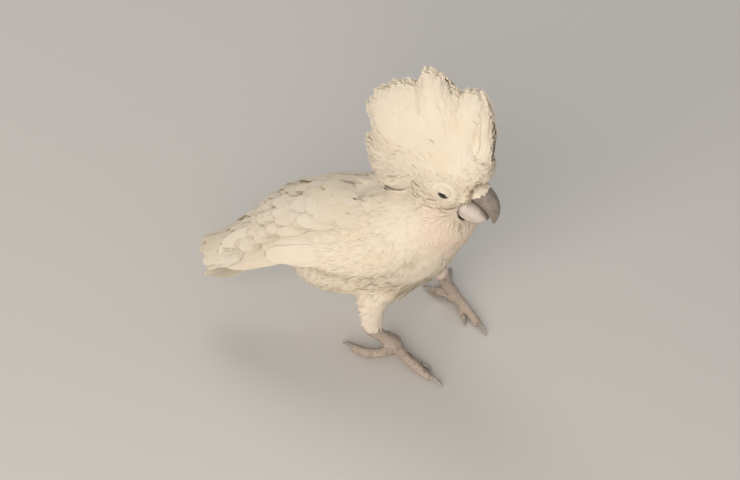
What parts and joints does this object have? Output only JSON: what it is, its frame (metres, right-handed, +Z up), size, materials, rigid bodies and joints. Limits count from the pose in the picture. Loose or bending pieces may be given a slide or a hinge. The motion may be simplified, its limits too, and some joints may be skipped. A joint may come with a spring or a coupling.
{
  "type": "standing white cockatoo model",
  "caption": "Life-size white cockatoo standing still with its broad crest raised, head bowed a little and feet apart.",
  "frame": {"origin": "on the ground under the middle of the right foot's pad", "axes": "+Z is up, the bird faces -Y and its right side is towards -X; Z is the longest side of its box and X the shortest"},
  "size_m": [0.1551, 0.2513, 0.297],
  "materials": {
    "plumage": "soft matt white feathers",
    "bill": "dull grey horn with a powdery bloom",
    "eye": "wet dark eye",
    "leg_skin": "dry scaly pinkish grey skin",
    "claw": "worn grey claw"
  },
  "bodies": {
    "root": {"head": "plumage", "neck": "plumage", "trunk": "plumage", "crest": "plumage", "bill_upper": "bill", "bill_lower": "bill", "eye_left": "eye", "eye_right": "eye", "wing_left": "plumage", "wing_right": "plumage", "tail": "plumage", "thigh_right": "plumage", "tarsus_right": "leg_skin", "foot_right": "leg_skin", "claw_right_1": "claw", "claw_right_2": "claw", "claw_right_3": "claw", "claw_right_4": "claw", "thigh_left": "plumage", "tarsus_left": "leg_skin", "foot_left": "leg_skin", "claw_left_1": "claw", "claw_left_2": "claw", "claw_left_3": "claw", "claw_left_4": "claw"}
  },
  "joints": []
}
